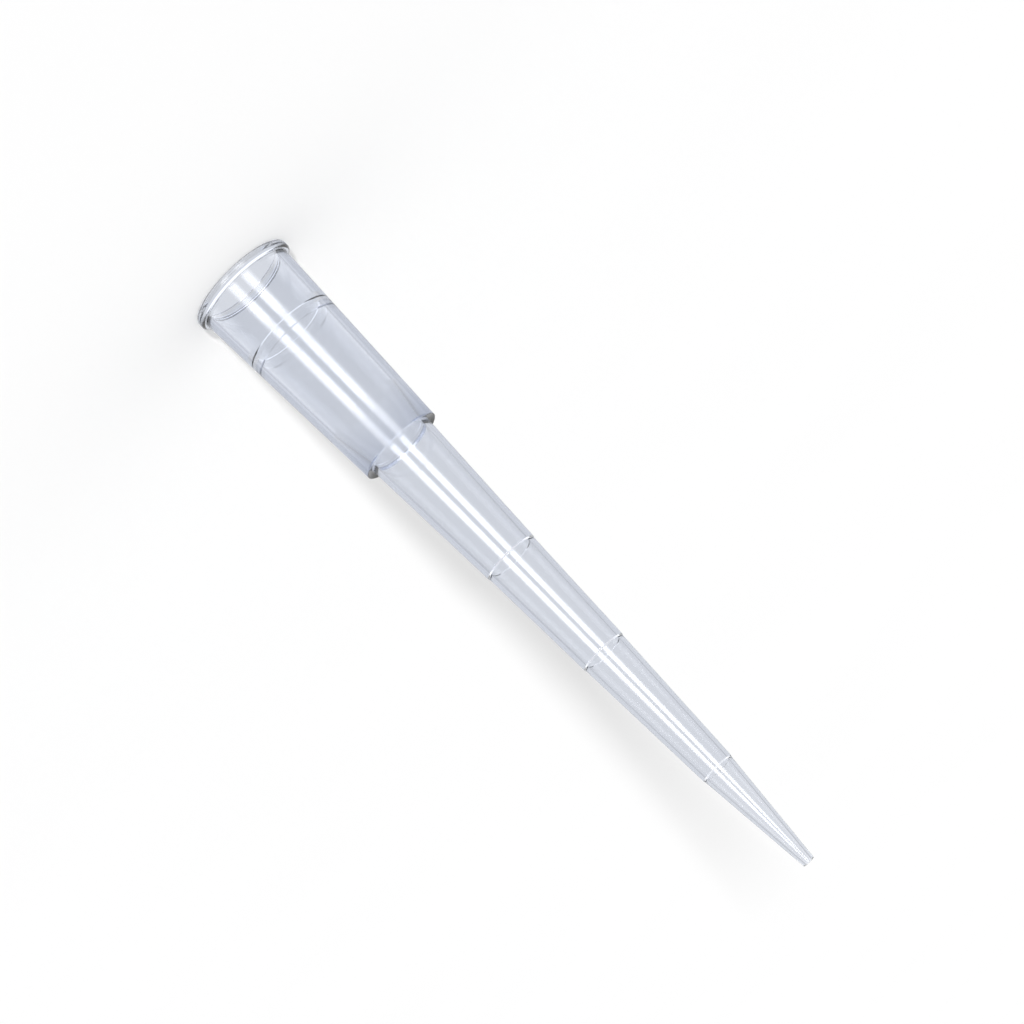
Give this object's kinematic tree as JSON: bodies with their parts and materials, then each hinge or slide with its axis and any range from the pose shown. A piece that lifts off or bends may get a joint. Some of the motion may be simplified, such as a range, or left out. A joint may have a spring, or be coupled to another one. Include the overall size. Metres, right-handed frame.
{
  "type": "pipette tip",
  "caption": "Clear tapered pipette tip: stepped hub with a rounded lip, graduation rings and a fine orifice.",
  "frame": {"origin": "centre of the open mouth, in the plane of its rim, which the tip stands on", "axes": "+Z along the tip's axis from the mouth up to the orifice; X and Y are free, because the tip is round"},
  "size_m": [0.0074, 0.0074, 0.051],
  "materials": {
    "clear_polypropylene": "clear moulded polypropylene, polished"
  },
  "bodies": {
    "root": {"tip": "clear_polypropylene"}
  },
  "joints": []
}
